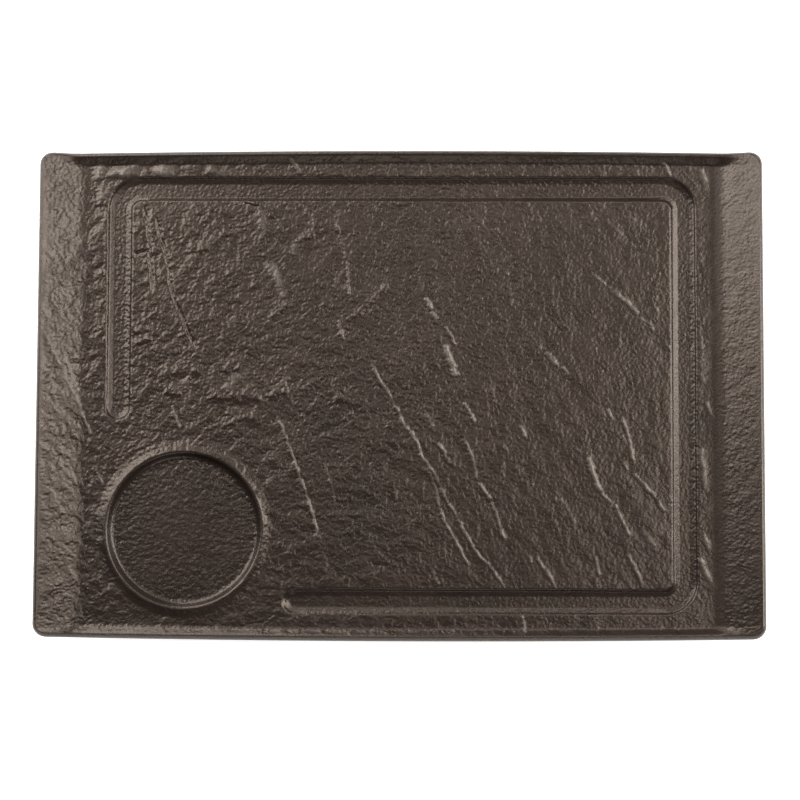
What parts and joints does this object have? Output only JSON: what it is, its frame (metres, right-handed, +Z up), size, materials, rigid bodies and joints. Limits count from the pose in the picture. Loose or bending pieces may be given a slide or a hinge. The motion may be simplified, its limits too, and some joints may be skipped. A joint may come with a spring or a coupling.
{
  "type": "platter",
  "caption": "Rectangular slate-look serving platter with turned-up ends, a low lip along each long side, a juice groove, a round seat for a dip bowl, and soft anti-slip pads under its foot.",
  "frame": {"origin": "on the table, under the middle of the platter", "axes": "+X along the platter's length, towards its right wing; +Y towards its rear side; +Z up"},
  "size_m": [0.33, 0.2244, 0.0186],
  "materials": {
    "slate_glaze": "satin dark brown-grey glaze over a slate relief",
    "pad_silicone": "matte silicone"
  },
  "bodies": {
    "root": {"platter_body": "slate_glaze", "pad_front_left": "pad_silicone", "pad_front_right": "pad_silicone", "pad_rear_left": "pad_silicone", "pad_rear_right": "pad_silicone"}
  },
  "joints": []
}
